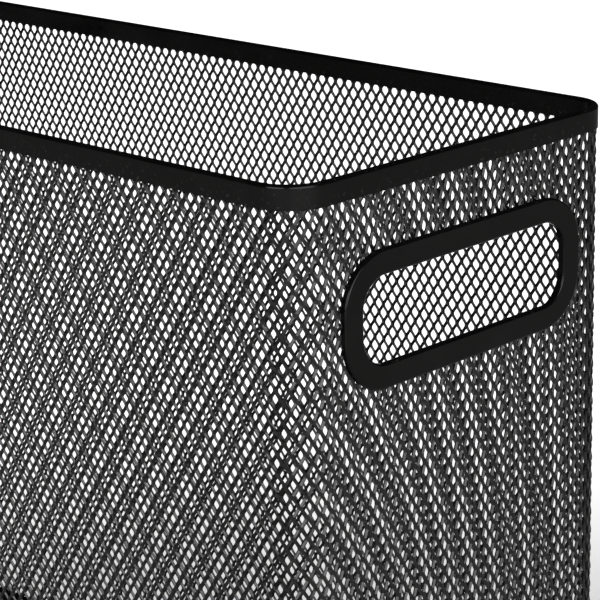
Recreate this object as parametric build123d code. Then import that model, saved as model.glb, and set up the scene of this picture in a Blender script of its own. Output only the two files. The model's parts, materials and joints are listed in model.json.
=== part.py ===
"""Black mesh magazine file holder: an open-top box of expanded steel mesh.

Millimetres, +Z up. The origin is on the resting plane, under the middle of the box.
+X runs along the length, so the two hand-hold handles are on the +X and -X end walls.
"""
from build123d import *
import os

# Driving dimensions
LENGTH = 336.0                  # over the outer faces of the mesh, along X
WIDTH = 142.0                   # over the outer faces of the mesh, along Y
HEIGHT = 266.0                  # resting plane to the top of the rim
CORNER_RADIUS = 13.0            # outer face of the mesh at the four upright corners
MESH_THICKNESS = 1.3            # raised expanded mesh, peak to peak
BAND_SHEET = 0.5                # steel strip folded over the mesh edges
BAND_HEIGHT = 7.2               # visible height of the rim band and of the bottom band
TRAY_SHEET = 0.7
FOOT_HEIGHT = 2.2
FOOT_DIAMETER = 12.0
FOOT_EDGE_RADIUS = 0.6

# Handle, looking square at an end wall
HANDLE_LENGTH = 105.0           # outside of the ring
HANDLE_HEIGHT = 41.6
HANDLE_CORNER_RADIUS = 17.0
HANDLE_RING_WIDTH = 7.6         # from the outside of the ring to the finger opening
HANDLE_DROP = 44.5              # top of the rim to the middle of the handle
HANDLE_RAISE = 1.7              # how far the ring stands out from the mesh
HANDLE_SHEET = 0.6
HANDLE_EDGE_RADIUS = 0.7        # rolled edges of the raised ring

# Worked out from the driving dimensions
BAND_THICKNESS = MESH_THICKNESS + 2 * BAND_SHEET
BAND_EDGE_RADIUS = 1.05
BAND_BOTTOM = 1.0               # gap under the bottom band, so the box stands on its feet
MESH_BOTTOM = BAND_BOTTOM + BAND_SHEET
MESH_TOP = HEIGHT - BAND_SHEET
TRAY_FLANGE_HEIGHT = 5.0
TRAY_BEND_RADIUS = 1.5
HANDLE_CENTRE_Z = HEIGHT - HANDLE_DROP
MESH_CUT_MARGIN = 1.2           # the mesh stops this far outside the finger opening
HANDLE_LIP_DEPTH = 1.9          # from the front of the ring to the end of its return lip
HANDLE_INNER_INSET = 1.6        # the inner ring is this much narrower at both edges
SEAM_X = -LENGTH / 2 + 28.0     # upright butt joint of the mesh, on the -Y wall
SEAM_GAP = 0.5
SEAM_STRIP_WIDTH = 10.0
SEAM_STRIP_SHEET = 0.8
FOOT_INSET = 17.0               # foot centres, in from the outer faces of the mesh


def rounded_block(inset, bottom, top):
    """A block with the box's plan, drawn in by inset from the outer face of the mesh."""
    plan = RectangleRounded(LENGTH - 2 * inset, WIDTH - 2 * inset, CORNER_RADIUS - inset)
    return Pos(0, 0, bottom) * extrude(plan, amount=top - bottom)


def wall_ring(outer_inset, thickness, bottom, top):
    """An upright wall that follows the box's plan all the way round."""
    outside = rounded_block(outer_inset, bottom, top)
    inside = rounded_block(outer_inset + thickness, bottom, top)
    return outside - inside


def handle_plate(grow, depth):
    """A plate with the handle's outline, grown all round, from x = 0 back to x = -depth."""
    outline = RectangleRounded(
        HANDLE_LENGTH + 2 * grow,
        HANDLE_HEIGHT + 2 * grow,
        HANDLE_CORNER_RADIUS + grow,
    )
    return extrude(Plane.YZ * outline, amount=-depth)


def opening_plate(grow, depth):
    """The same with the finger opening's outline."""
    return handle_plate(grow - HANDLE_RING_WIDTH, depth)


def at_end_wall(shape, x):
    """Place a handle piece, drawn at x = 0, at its height on the +X end wall."""
    return Pos(x, 0, HANDLE_CENTRE_Z) * shape


def both_ends(name, shape):
    """The +X piece and its mirror image on the -X end wall."""
    return {name + "_right": shape, name + "_left": mirror(shape, about=Plane.YZ)}


def make_mesh_wrap():
    """One sheet of mesh bent round four corners, butt-jointed at the seam."""
    wrap = wall_ring(0, MESH_THICKNESS, MESH_BOTTOM, MESH_TOP)
    cutter = opening_plate(MESH_CUT_MARGIN, 3 * MESH_THICKNESS)
    cutter = at_end_wall(cutter, LENGTH / 2 + MESH_THICKNESS)
    wrap -= cutter
    wrap -= mirror(cutter, about=Plane.YZ)
    slit = Box(SEAM_GAP, 4 * MESH_THICKNESS, 2 * HEIGHT)
    wrap -= Pos(SEAM_X, -WIDTH / 2, HEIGHT / 2) * slit
    return wrap


def make_rim_band():
    """A steel strip folded over the top edge of the mesh, rounded along the fold."""
    bottom = HEIGHT - BAND_HEIGHT
    ring = wall_ring(-BAND_SHEET, BAND_THICKNESS, bottom, HEIGHT)
    top_edges = ring.edges().group_by(Axis.Z)[-1]
    ring = fillet(top_edges, BAND_EDGE_RADIUS)
    return ring - wall_ring(0, MESH_THICKNESS, bottom, MESH_TOP)


def make_bottom_band():
    """The same folded strip round the lower edge of the mesh."""
    top = BAND_BOTTOM + BAND_HEIGHT
    ring = wall_ring(-BAND_SHEET, BAND_THICKNESS, BAND_BOTTOM, top)
    bottom_edges = ring.edges().group_by(Axis.Z)[0]
    ring = fillet(bottom_edges, BAND_EDGE_RADIUS)
    return ring - wall_ring(0, MESH_THICKNESS, MESH_BOTTOM, top)


def make_base_tray():
    """The pressed base sheet with an upturned flange inside the bottom band."""
    outer_inset = MESH_THICKNESS + BAND_SHEET
    top = FOOT_HEIGHT + TRAY_FLANGE_HEIGHT
    body = rounded_block(outer_inset, FOOT_HEIGHT, top)
    body = fillet(body.edges().group_by(Axis.Z)[0], TRAY_BEND_RADIUS)
    hollow = rounded_block(outer_inset + TRAY_SHEET, FOOT_HEIGHT + TRAY_SHEET, top)
    hollow = fillet(hollow.edges().group_by(Axis.Z)[0], TRAY_BEND_RADIUS - TRAY_SHEET)
    return body - hollow


def make_seam_strip():
    """A flat strip welded inside the wall over the butt joint of the mesh."""
    bottom = BAND_BOTTOM + BAND_HEIGHT
    top = HEIGHT - BAND_HEIGHT
    strip = Box(SEAM_STRIP_WIDTH, SEAM_STRIP_SHEET, top - bottom)
    y = -WIDTH / 2 + MESH_THICKNESS + SEAM_STRIP_SHEET / 2
    return Pos(SEAM_X, y, (bottom + top) / 2) * strip


def make_handle_outer():
    """The pressed outer ring: a raised face, rolled edges and a lip through the opening."""
    raised = handle_plate(0, HANDLE_RAISE) - opening_plate(0, HANDLE_RAISE)
    raised = fillet(raised.edges().group_by(Axis.X)[-1], HANDLE_EDGE_RADIUS)
    hollow = handle_plate(-HANDLE_SHEET, HANDLE_RAISE) - opening_plate(HANDLE_SHEET, HANDLE_RAISE)
    shell = raised - Pos(-HANDLE_SHEET, 0, 0) * hollow
    lip_depth = HANDLE_LIP_DEPTH - HANDLE_RAISE
    lip = opening_plate(HANDLE_SHEET, lip_depth) - opening_plate(0, lip_depth)
    ring = shell + Pos(-HANDLE_RAISE, 0, 0) * lip
    return at_end_wall(ring, LENGTH / 2 + HANDLE_RAISE)


def make_handle_inner():
    """The flat inner ring, spot-welded to the outer one through the mesh."""
    plate = handle_plate(-HANDLE_INNER_INSET, HANDLE_SHEET)
    plate = fillet(plate.edges().group_by(Axis.X)[0], HANDLE_SHEET / 2)
    ring = plate - opening_plate(HANDLE_INNER_INSET, HANDLE_SHEET)
    return at_end_wall(ring, LENGTH / 2 - MESH_THICKNESS)


def make_feet():
    """Four round pads stuck under the corners of the base tray."""
    feet = {}
    pad = extrude(Circle(FOOT_DIAMETER / 2), amount=FOOT_HEIGHT)
    pad = fillet(pad.edges().group_by(Axis.Z)[0], FOOT_EDGE_RADIUS)
    for end, x_side in (("right", 1), ("left", -1)):
        for face, y_side in (("front", -1), ("rear", 1)):
            x = x_side * (LENGTH / 2 - FOOT_INSET)
            y = y_side * (WIDTH / 2 - FOOT_INSET)
            feet["foot_" + face + "_" + end] = Pos(x, y, 0) * pad
    return feet


def make_parts():
    """Every separate piece of the holder, by the name of its node."""
    parts = {
        "mesh_wrap": make_mesh_wrap(),
        "seam_strip": make_seam_strip(),
        "rim_band": make_rim_band(),
        "bottom_band": make_bottom_band(),
        "base_tray": make_base_tray(),
    }
    parts.update(both_ends("handle_outer", make_handle_outer()))
    parts.update(both_ends("handle_inner", make_handle_inner()))
    parts.update(make_feet())
    return parts


os.makedirs("parts", exist_ok=True)
for node, solid in make_parts().items():
    export_step(solid, "parts/" + node + ".step")
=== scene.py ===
import json
import math

import bpy
import numpy as np
from mathutils import Matrix, Vector

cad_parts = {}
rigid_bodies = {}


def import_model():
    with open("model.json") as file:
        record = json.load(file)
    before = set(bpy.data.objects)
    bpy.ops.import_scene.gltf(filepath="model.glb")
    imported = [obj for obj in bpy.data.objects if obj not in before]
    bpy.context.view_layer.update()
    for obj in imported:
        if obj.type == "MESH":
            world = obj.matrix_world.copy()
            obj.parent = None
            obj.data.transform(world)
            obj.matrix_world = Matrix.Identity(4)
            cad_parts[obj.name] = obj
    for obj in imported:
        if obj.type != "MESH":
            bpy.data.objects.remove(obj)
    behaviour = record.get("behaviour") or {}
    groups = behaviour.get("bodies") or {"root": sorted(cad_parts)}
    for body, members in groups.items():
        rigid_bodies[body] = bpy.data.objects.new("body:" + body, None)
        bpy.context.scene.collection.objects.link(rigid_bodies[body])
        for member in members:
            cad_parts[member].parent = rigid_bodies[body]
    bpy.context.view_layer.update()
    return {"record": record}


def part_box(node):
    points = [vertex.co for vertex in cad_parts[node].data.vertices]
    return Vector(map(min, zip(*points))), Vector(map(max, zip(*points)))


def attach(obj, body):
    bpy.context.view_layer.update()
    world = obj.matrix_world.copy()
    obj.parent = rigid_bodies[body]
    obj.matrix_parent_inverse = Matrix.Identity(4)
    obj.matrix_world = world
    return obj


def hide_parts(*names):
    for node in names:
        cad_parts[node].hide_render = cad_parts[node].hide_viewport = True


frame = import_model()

MM = 0.001

# The expanded mesh. Its strands run upright and zigzag between bonds with their neighbours.
NOMINAL_PITCH_ALONG = 4.2 * MM    # short way of the diamonds, along the wall
PITCH_UP = 6.32 * MM              # long way of the diamonds, upright
STRAND_WIDTH = 0.92 * MM
STRAND_THICKNESS = 0.75 * MM
STRAND_TILT = math.radians(26)    # each strand's right-hand edge leans out of the wall
STRAND_BEVEL = 0.09 * MM
BOND_LENGTH = 1.05 * MM           # upright stretch where two strands are one
STRANDS_PER_PIECE = 60
MESH_HIDDEN = 3.0 * MM            # the mesh ends this far inside the folded bands
HANDLE_COVERS = 4.2 * MM          # the mesh ends this far inside the outline of a handle
SEAM_GAP = 0.5 * MM               # between the two ends of the mesh, over the seam strip

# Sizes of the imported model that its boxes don't give
CORNER_RADIUS = 13.0 * MM
MESH_THICKNESS = 1.3 * MM
HANDLE_CORNER_RADIUS = 17.0 * MM

# Camera, from the near top corner of the box
CAMERA_AZIMUTH = math.radians(44.80)
CAMERA_PITCH = math.radians(16.93)
CAMERA_ROLL = math.radians(-1.35)
CAMERA_LENS = 142.95              # mm, on a 36 mm sensor
CAMERA_FROM_CORNER = Vector((438.2, -438.9, 157.9)) * MM
BEHIND = Vector((-math.sin(CAMERA_AZIMUTH), math.cos(CAMERA_AZIMUTH), 0))
RIGHT = Vector((math.cos(CAMERA_AZIMUTH), math.sin(CAMERA_AZIMUTH), 0))

wrap_low, wrap_high = (Vector(corner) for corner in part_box("mesh_wrap"))
HALF_L = wrap_high.x - MESH_THICKNESS / 2
HALF_W = wrap_high.y - MESH_THICKNESS / 2
RADIUS = CORNER_RADIUS - MESH_THICKNESS / 2
STRAIGHT_X = 2 * (HALF_L - RADIUS)
STRAIGHT_Y = 2 * (HALF_W - RADIUS)
ARC = math.pi / 2 * RADIUS
PERIMETER = 2 * STRAIGHT_X + 2 * STRAIGHT_Y + 4 * ARC

# The mesh starts and ends at the seam, with a whole number of diamonds between
seam_low, seam_high = (Vector(corner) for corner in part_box("seam_strip"))
MESH_START = (seam_low.x + seam_high.x) / 2 + STRAIGHT_X / 2 + SEAM_GAP / 2
N_STRANDS = 2 * round((PERIMETER - SEAM_GAP) / NOMINAL_PITCH_ALONG)
PITCH_ALONG = 2 * (PERIMETER - SEAM_GAP) / N_STRANDS


# ---------------------------------------------------------------- the mesh wrap

def path_frame(s):
    """Positions and outward normals at distances s round the middle of the mesh.

    It starts at the left end of the front wall and runs counter-clockwise seen from above.
    """
    s = np.mod(s, PERIMETER)
    x, y = np.zeros_like(s), np.zeros_like(s)
    nx, ny = np.zeros_like(s), np.zeros_like(s)
    start = 0.0
    walls = (
        (STRAIGHT_X, (-1, -1), (1, 0)),
        (STRAIGHT_Y, (1, -1), (0, 1)),
        (STRAIGHT_X, (1, 1), (-1, 0)),
        (STRAIGHT_Y, (-1, 1), (0, -1)),
    )
    for length, (cx, cy), (dx, dy) in walls:
        outward = (dy, -dx)
        centre = (cx * (HALF_L - RADIUS), cy * (HALF_W - RADIUS))
        on = (s >= start) & (s < start + length)
        along = s - start
        x[on] = (centre[0] + outward[0] * RADIUS + dx * along)[on]
        y[on] = (centre[1] + outward[1] * RADIUS + dy * along)[on]
        nx[on], ny[on] = outward
        start += length
        turn = (centre[0] + dx * length, centre[1] + dy * length)
        on = (s >= start) & (s < start + ARC)
        angle = math.atan2(outward[1], outward[0]) + (s - start) / RADIUS
        nx[on], ny[on] = np.cos(angle)[on], np.sin(angle)[on]
        x[on] = turn[0] + RADIUS * nx[on]
        y[on] = turn[1] + RADIUS * ny[on]
        start += ARC
    return x, y, nx, ny


def strand_section():
    """The strand's bevelled cross-section, as (along the wall, out of the wall) offsets."""
    w, t, c = STRAND_WIDTH / 2, STRAND_THICKNESS / 2, STRAND_BEVEL
    flat = [(w - c, -t), (w, -t + c), (w, t - c), (w - c, t),
            (-w + c, t), (-w, t - c), (-w, -t + c), (-w + c, -t)]
    cos, sin = math.cos(STRAND_TILT), math.sin(STRAND_TILT)
    return np.array([(u * cos - v * sin, u * sin + v * cos) for u, v in flat])


def under_handle(x, y, z):
    """Whether points lie inside a handle's outline, where the mesh is cut away."""
    low, high = (Vector(corner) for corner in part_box("handle_outer_right"))
    half_y = (high.y - low.y) / 2 - HANDLE_COVERS
    half_z = (high.z - low.z) / 2 - HANDLE_COVERS
    radius = HANDLE_CORNER_RADIUS - HANDLE_COVERS
    dy = np.maximum(np.abs(y) - (half_y - radius), 0)
    dz = np.maximum(np.abs(z - (low.z + high.z) / 2) - (half_z - radius), 0)
    return (np.abs(x) > HALF_L - RADIUS) & (np.hypot(dy, dz) < radius)


def strand_rings(k, bonds, z_first):
    """Vertex rings of strand k: one at the lower and one at the upper end of each bond."""
    section = strand_section()
    cos, sin = math.cos(STRAND_TILT), math.sin(STRAND_TILT)
    shift = np.array((PITCH_ALONG / 2 - STRAND_WIDTH * cos, -STRAND_WIDTH * sin))
    sideways = np.linalg.norm(shift)
    lean = math.atan2(sideways, PITCH_UP / 2 - BOND_LENGTH)
    mitre = math.tan(lean / 2) * section @ (shift / sideways)

    at_left = (bonds + k) % 2 == 0
    side = np.where(at_left, 1.0, -1.0)
    s_bond = MESH_START + np.where(at_left, k, k + 1) * PITCH_ALONG / 2
    s_mid = np.repeat(s_bond + side * STRAND_WIDTH / 2 * cos, 2)
    out_mid = np.repeat(side * STRAND_WIDTH / 2 * sin, 2)
    z_bond = z_first + bonds * PITCH_UP / 2
    end = np.tile((-1.0, 1.0), len(bonds))
    z = np.repeat(z_bond, 2)[:, None] + end[:, None] * BOND_LENGTH / 2
    z = z - (end * np.repeat(side, 2))[:, None] * mitre
    s = s_mid[:, None] + section[:, 0]
    out = out_mid[:, None] + section[:, 1]
    x, y, nx, ny = path_frame(s)
    return np.stack([x + out * nx, y + out * ny, z], -1)


def mesh_object(name, verts, faces_by_size):
    """A new object from vertex positions and arrays of faces of one size each."""
    loops = np.concatenate([faces.ravel() for faces in faces_by_size])
    sizes = np.concatenate([np.full(len(faces), faces.shape[1]) for faces in faces_by_size])
    mesh = bpy.data.meshes.new(name)
    mesh.vertices.add(len(verts))
    mesh.vertices.foreach_set("co", verts.ravel())
    mesh.loops.add(len(loops))
    mesh.loops.foreach_set("vertex_index", loops)
    mesh.polygons.add(len(sizes))
    mesh.polygons.foreach_set("loop_start", np.cumsum(sizes) - sizes)
    mesh.update(calc_edges=True)
    mesh.validate()
    mesh.shade_flat()
    piece = bpy.data.objects.new(name, mesh)
    bpy.context.scene.collection.objects.link(piece)
    return piece


def build_strands(name, first, last):
    """One mesh object that holds strands first to last - 1."""
    z_first = wrap_low.z + MESH_HIDDEN
    bonds = np.arange(int((wrap_high.z - MESH_HIDDEN - z_first) / (PITCH_UP / 2)) + 1)
    verts, quads, caps = [], [], []
    base = 0
    for k in range(first, last):
        rings = strand_rings(k, bonds, z_first)
        n_ring, n_side = rings.shape[:2]
        middle = (rings[:-1].mean(1) + rings[1:].mean(1)) / 2
        keep = ~under_handle(*middle.T)
        index = base + np.arange(n_ring * n_side).reshape(n_ring, n_side)
        below, above = index[:-1][keep], index[1:][keep]
        around = [below, np.roll(below, -1, 1), np.roll(above, -1, 1), above]
        quads.append(np.stack(around, -1).reshape(-1, 4))
        opens_below = keep & ~np.concatenate([[False], keep[:-1]])
        opens_above = keep & ~np.concatenate([keep[1:], [False]])
        caps.append(index[:-1][opens_below][:, ::-1])
        caps.append(index[1:][opens_above])
        verts.append(rings.reshape(-1, 3))
        base += n_ring * n_side
    return mesh_object(name, np.concatenate(verts), [np.concatenate(quads), np.concatenate(caps)])


# ---------------------------------------------------------------- materials

def new_material(name):
    """A new material, its node tree and its shader."""
    material = bpy.data.materials.new(name)
    material.use_nodes = True
    return material, material.node_tree, material.node_tree.nodes["Principled BSDF"]


def new_node(tree, kind, **values):
    """A new shader node, with its inputs set by name."""
    node = tree.nodes.new(kind)
    for name, value in values.items():
        node.inputs[name.replace("_", " ")].default_value = value
    return node


def noise(tree, coords, size, detail=2.0):
    """A noise pattern whose features are about size across."""
    node = new_node(tree, "ShaderNodeTexNoise", Scale=1 / size, Detail=detail)
    tree.links.new(coords, node.inputs["Vector"])
    return node.outputs["Fac"]


def remap(tree, value, from_low, from_high, to_low, to_high, steps="SMOOTHSTEP"):
    """The value moved from one range to another, and clamped."""
    node = tree.nodes.new("ShaderNodeMapRange")
    node.interpolation_type = steps
    limits = (from_low, from_high, to_low, to_high)
    for name, limit in zip(("From Min", "From Max", "To Min", "To Max"), limits):
        node.inputs[name].default_value = limit
    tree.links.new(value, node.inputs["Value"])
    return node.outputs["Result"]


def combine(tree, operation, first, second):
    """Two values, each a socket or a number, put through a Math node."""
    node = tree.nodes.new("ShaderNodeMath")
    node.operation = operation
    for socket, value in zip(node.inputs, (first, second)):
        if isinstance(value, (int, float)):
            socket.default_value = value
        else:
            tree.links.new(value, socket)
    return node.outputs["Value"]


def blend_colour(tree, share, first, second):
    """The first colour turning to the second where share goes to 1."""
    node = tree.nodes.new("ShaderNodeMix")
    node.data_type = "RGBA"
    tree.links.new(share, node.inputs["Factor"])
    for name, colour in (("A", first), ("B", second)):
        socket = [i for i in node.inputs if i.name == name and i.type == "RGBA"][0]
        if isinstance(colour, tuple):
            socket.default_value = (*colour, 1)
        else:
            tree.links.new(colour, socket)
    return [o for o in node.outputs if o.type == "RGBA"][0]


def add_bump(tree, shader, height, depth):
    """Raise the shader's surface by up to depth where height goes to 1."""
    bump = new_node(tree, "ShaderNodeBump", Strength=1.0, Distance=depth)
    tree.links.new(height, bump.inputs["Height"])
    tree.links.new(bump.outputs["Normal"], shader.inputs["Normal"])


# Each paint's own colour and its colour under a trace of dust
MESH_PAINT = (0.006, 0.006, 0.0058), (0.014, 0.014, 0.0135)
BAND_PAINT = (0.0030, 0.0030, 0.0028), (0.0065, 0.0065, 0.0062)
RUBBER = (0.018, 0.018, 0.018), (0.034, 0.034, 0.033)
STEEL_SHOWING = (0.11, 0.108, 0.104)
CLOUD_SIZE = 18 * MM
PATCH_SIZE = 2.5 * MM
CHIP_SIZE = 1.2 * MM
SHARP_EDGE = 0.53, 0.60           # pointiness where the paint starts to be rubbed, and is fully


def paint(name, colours, roughness, specular, grain_size, grain_depth, wear):
    """Black paint on steel: grain, uneven gloss, faint dust and edges rubbed thin."""
    material, tree, shader = new_material(name)
    shader.inputs["Specular IOR Level"].default_value = specular
    coords = tree.nodes.new("ShaderNodeTexCoord").outputs["Object"]

    cloudy = noise(tree, coords, CLOUD_SIZE)
    patchy = noise(tree, coords, PATCH_SIZE, 4.0)
    dusty = combine(tree, "MULTIPLY", remap(tree, cloudy, 0.4, 0.75, 0, 1), patchy)
    colour = blend_colour(tree, dusty, *colours)

    pointiness = tree.nodes.new("ShaderNodeNewGeometry").outputs["Pointiness"]
    edges = remap(tree, pointiness, *SHARP_EDGE, 0, 1)
    chips = remap(tree, noise(tree, coords, CHIP_SIZE, 6.0), 0.60, 0.72, 0, wear)
    worn = combine(tree, "MULTIPLY", edges, chips)
    colour = blend_colour(tree, worn, colour, STEEL_SHOWING)
    tree.links.new(colour, shader.inputs["Base Color"])

    broad = remap(tree, cloudy, 0.25, 0.75, roughness - 0.05, roughness + 0.05)
    fine = remap(tree, patchy, 0.3, 0.7, -0.03, 0.04)
    tree.links.new(combine(tree, "ADD", broad, fine), shader.inputs["Roughness"])
    add_bump(tree, shader, noise(tree, coords, grain_size, 1.0), grain_depth)
    return material


def rubber(name):
    """Matt black rubber with a fine grain."""
    material, tree, shader = new_material(name)
    coords = tree.nodes.new("ShaderNodeTexCoord").outputs["Object"]
    blotches = noise(tree, coords, 3 * MM, 3.0)
    colour = blend_colour(tree, blotches, *RUBBER)
    tree.links.new(colour, shader.inputs["Base Color"])
    tree.links.new(remap(tree, blotches, 0.3, 0.7, 0.72, 0.86), shader.inputs["Roughness"])
    add_bump(tree, shader, noise(tree, coords, 0.25 * MM), 0.02 * MM)
    return material


# Name: colours, roughness, specular, size and depth of the grain, wear of the edges
PAINTS = {
    "mesh_paint": (MESH_PAINT, 0.28, 0.65, 0.20 * MM, 0.006 * MM, 0.1),
    "band_paint": (BAND_PAINT, 0.20, 0.25, 0.70 * MM, 0.003 * MM, 0.3),
    "handle_paint": (BAND_PAINT, 0.20, 0.25, 0.55 * MM, 0.003 * MM, 0.3),
    "tray_paint": (MESH_PAINT, 0.50, 0.40, 0.30 * MM, 0.015 * MM, 0.4),
}
MATERIALS = {name: paint(name, *look) for name, look in PAINTS.items()}
MATERIALS["foot_rubber"] = rubber("foot_rubber")


# ---------------------------------------------------------------- pieces

for first in range(0, N_STRANDS, STRANDS_PER_PIECE):
    last = min(first + STRANDS_PER_PIECE, N_STRANDS)
    piece = build_strands("mesh_strands_%02d" % (first // STRANDS_PER_PIECE + 1), first, last)
    piece.data.materials.append(MATERIALS["mesh_paint"])
    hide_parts("mesh_wrap")
    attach(piece, "root")

for subpart in frame["record"]["subparts"]:
    node = bpy.data.objects[subpart["node"]]
    for material_slot in node.material_slots:
        material_slot.material = MATERIALS[subpart["material_slot"]]


# ---------------------------------------------------------------- floor, light and camera

FLOOR_HALF = 6.0
FLOOR_COLOUR = (0.85, 0.85, 0.84)
# Painted light: the floor glows behind the box, and the glow fading out towards the box is a
# painted shadow
FLOOR_PAINTED_GLOW = 1.25
PAINTED_GLOW_BEHIND = -0.08, 0.45         # it starts and is full this far behind the middle of the box
PAINTED_GLOW_BESIDE = 0.38, 0.70          # it starts to fade and ends this far to either side
WORLD_DIM, WORLD_BRIGHT = 0.08, 0.30
BOX_MIDDLE = (0, 0, 0.13)


def along(tree, vector, direction):
    """How far a vector reaches along a direction."""
    node = tree.nodes.new("ShaderNodeVectorMath")
    node.operation = "DOT_PRODUCT"
    tree.links.new(vector, node.inputs[0])
    node.inputs[1].default_value = direction
    return node.outputs["Value"]


def make_floor():
    """A plain pale floor with painted light: it glows behind the box, and its glow fading out
    towards the box is a painted shadow.
    """
    corners = [(-1, -1), (1, -1), (1, 1), (-1, 1)]
    mesh = bpy.data.meshes.new("floor")
    mesh.from_pydata([(FLOOR_HALF * x, FLOOR_HALF * y, 0) for x, y in corners], [], [(0, 1, 2, 3)])
    floor = bpy.data.objects.new("floor", mesh)
    bpy.context.scene.collection.objects.link(floor)
    material, tree, shader = new_material("floor_white_painted_glow")
    shader.inputs["Base Color"].default_value = (*FLOOR_COLOUR, 1)
    shader.inputs["Roughness"].default_value = 0.9
    shader.inputs["Emission Color"].default_value = (1, 1, 1, 1)
    place = tree.nodes.new("ShaderNodeNewGeometry").outputs["Position"]
    # painted light: the floor's glow grows with the distance behind the box, so the floor near the
    # box is a painted shadow; the glow also ends off to either side
    behind = remap(tree, along(tree, place, BEHIND), *PAINTED_GLOW_BEHIND, 0, FLOOR_PAINTED_GLOW, "LINEAR")
    sideways = combine(tree, "ABSOLUTE", along(tree, place, RIGHT), 0.0)
    painted_glow_side_fade = remap(tree, sideways, *PAINTED_GLOW_BESIDE, 1.0, 0.0)
    tree.links.new(combine(tree, "MULTIPLY", behind, painted_glow_side_fade), shader.inputs["Emission Strength"])
    mesh.materials.append(material)


def make_world():
    """A pale studio: bright behind the box, dim on the camera's side."""
    world = bpy.data.worlds.new("studio")
    world.use_nodes = True
    tree = world.node_tree
    direction = tree.nodes.new("ShaderNodeTexCoord").outputs["Generated"]
    behind = remap(tree, along(tree, direction, BEHIND), -0.3, 0.5, WORLD_DIM, WORLD_BRIGHT)
    tree.links.new(behind, tree.nodes["Background"].inputs["Strength"])
    bpy.context.scene.world = world


def make_softbox(name, place, size, power):
    """A soft area light that faces the box."""
    light = bpy.data.lights.new(name, "AREA")
    light.shape = "RECTANGLE"
    light.size, light.size_y = size
    light.energy = power
    lamp = bpy.data.objects.new(name, light)
    lamp.location = place
    facing = Vector(BOX_MIDDLE) - Vector(place)
    lamp.rotation_euler = facing.to_track_quat("-Z", "Y").to_euler()
    bpy.context.scene.collection.objects.link(lamp)


def make_camera():
    """The camera, placed from the near top corner of the box and looking down at it."""
    data = bpy.data.cameras.new("camera")
    data.lens = CAMERA_LENS
    data.sensor_width = 36.0
    camera = bpy.data.objects.new("camera", data)
    bpy.context.scene.collection.objects.link(camera)
    corner = Vector((wrap_high.x, wrap_low.y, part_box("rim_band")[1][2]))
    forward = BEHIND * math.cos(CAMERA_PITCH) - Vector((0, 0, math.sin(CAMERA_PITCH)))
    right = forward.cross(Vector((0, 0, 1))).normalized()
    turn = Matrix((right, right.cross(forward), -forward)).transposed()
    turn = turn @ Matrix.Rotation(CAMERA_ROLL, 3, "Z")
    camera.matrix_world = Matrix.Translation(corner + CAMERA_FROM_CORNER) @ turn.to_4x4()
    bpy.context.scene.camera = camera


make_floor()
make_world()
make_softbox("softbox_right", (2.65, -0.87, 1.00), (3.0, 1.6), 54)
make_softbox("softbox_left", (0.45, -2.86, 1.00), (2.0, 1.6), 36)
make_camera()
bpy.context.scene.view_settings.view_transform = "Standard"
